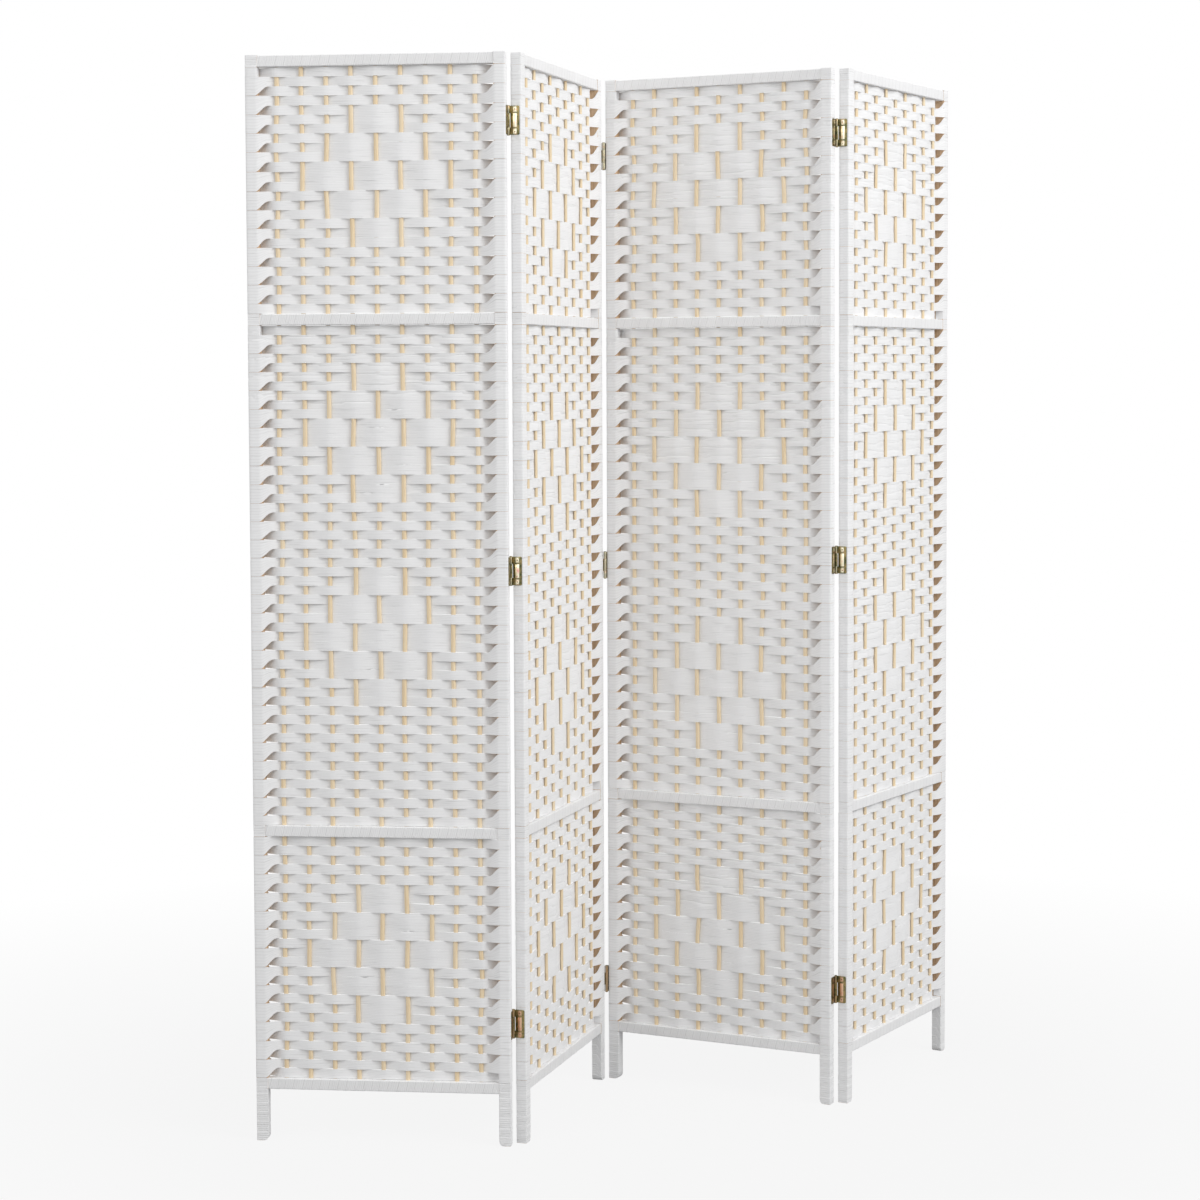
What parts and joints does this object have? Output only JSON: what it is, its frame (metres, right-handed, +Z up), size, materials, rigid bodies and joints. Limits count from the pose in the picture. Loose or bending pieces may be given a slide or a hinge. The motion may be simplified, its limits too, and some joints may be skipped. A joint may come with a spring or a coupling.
{
  "type": "folding screen",
  "caption": "Folding room divider: hinged wooden panels in a zigzag, filled with white paper bands woven on bamboo canes in a diamond pattern.",
  "frame": {"origin": "on the floor, in the middle of the box round the screen as it stands", "axes": "+Z up; +X along the standing row, from the first panel to the last; the front looks along -Y"},
  "size_m": [1.2824, 0.3326, 1.7],
  "materials": {
    "frame_wood": "sawn softwood, bare where the bands leave openings",
    "bamboo_cane": "smooth pale cane",
    "white_paper": "flat twisted-paper band, fine lengthwise strands",
    "white_paper_strip": "wound paper strip",
    "yellow_zinc": "pressed steel, yellow passivated zinc"
  },
  "bodies": {
    "panel_1": {"panel_1_left_post": "frame_wood", "panel_1_right_post": "frame_wood", "panel_1_bottom_rail": "frame_wood", "panel_1_lower_rail": "frame_wood", "panel_1_upper_rail": "frame_wood", "panel_1_top_rail": "frame_wood", "panel_1_canes": "bamboo_cane", "panel_1_wraps": "white_paper_strip", "panel_1_bottom_weave": "white_paper", "panel_1_middle_weave": "white_paper", "panel_1_top_weave": "white_paper", "panel_1_hinge_screws": "yellow_zinc", "fold_1_2_left_leaves": "yellow_zinc"},
    "panel_2": {"panel_2_left_post": "frame_wood", "panel_2_right_post": "frame_wood", "panel_2_bottom_rail": "frame_wood", "panel_2_lower_rail": "frame_wood", "panel_2_upper_rail": "frame_wood", "panel_2_top_rail": "frame_wood", "panel_2_canes": "bamboo_cane", "panel_2_wraps": "white_paper_strip", "panel_2_bottom_weave": "white_paper", "panel_2_middle_weave": "white_paper", "panel_2_top_weave": "white_paper", "panel_2_hinge_screws": "yellow_zinc", "fold_1_2_right_leaves": "yellow_zinc", "fold_1_2_pins": "yellow_zinc", "fold_2_3_left_leaves": "yellow_zinc"},
    "panel_3": {"panel_3_left_post": "frame_wood", "panel_3_right_post": "frame_wood", "panel_3_bottom_rail": "frame_wood", "panel_3_lower_rail": "frame_wood", "panel_3_upper_rail": "frame_wood", "panel_3_top_rail": "frame_wood", "panel_3_canes": "bamboo_cane", "panel_3_wraps": "white_paper_strip", "panel_3_bottom_weave": "white_paper", "panel_3_middle_weave": "white_paper", "panel_3_top_weave": "white_paper", "panel_3_hinge_screws": "yellow_zinc", "fold_2_3_right_leaves": "yellow_zinc", "fold_2_3_pins": "yellow_zinc", "fold_3_4_left_leaves": "yellow_zinc"},
    "panel_4": {"panel_4_left_post": "frame_wood", "panel_4_right_post": "frame_wood", "panel_4_bottom_rail": "frame_wood", "panel_4_lower_rail": "frame_wood", "panel_4_upper_rail": "frame_wood", "panel_4_top_rail": "frame_wood", "panel_4_canes": "bamboo_cane", "panel_4_wraps": "white_paper_strip", "panel_4_bottom_weave": "white_paper", "panel_4_middle_weave": "white_paper", "panel_4_top_weave": "white_paper", "panel_4_hinge_screws": "yellow_zinc", "fold_3_4_right_leaves": "yellow_zinc", "fold_3_4_pins": "yellow_zinc"}
  },
  "joints": [
    {"name": "fold_1_2", "type": "hinge", "parent": "panel_2", "child": "panel_1", "pos_m": [-0.28055, -0.13063, 0.85], "axis": [0, 0, -1], "range_deg": [-78, 102]},
    {"name": "fold_2_3", "type": "hinge", "parent": "panel_2", "child": "panel_3", "pos_m": [0.0154, 0.15321, 0.85], "axis": [0, 0, -1], "range_deg": [-98, 82]},
    {"name": "fold_3_4", "type": "hinge", "parent": "panel_3", "child": "panel_4", "pos_m": [0.29162, -0.14987, 0.85], "axis": [0, 0, 1], "range_deg": [-85, 95]}
  ]
}
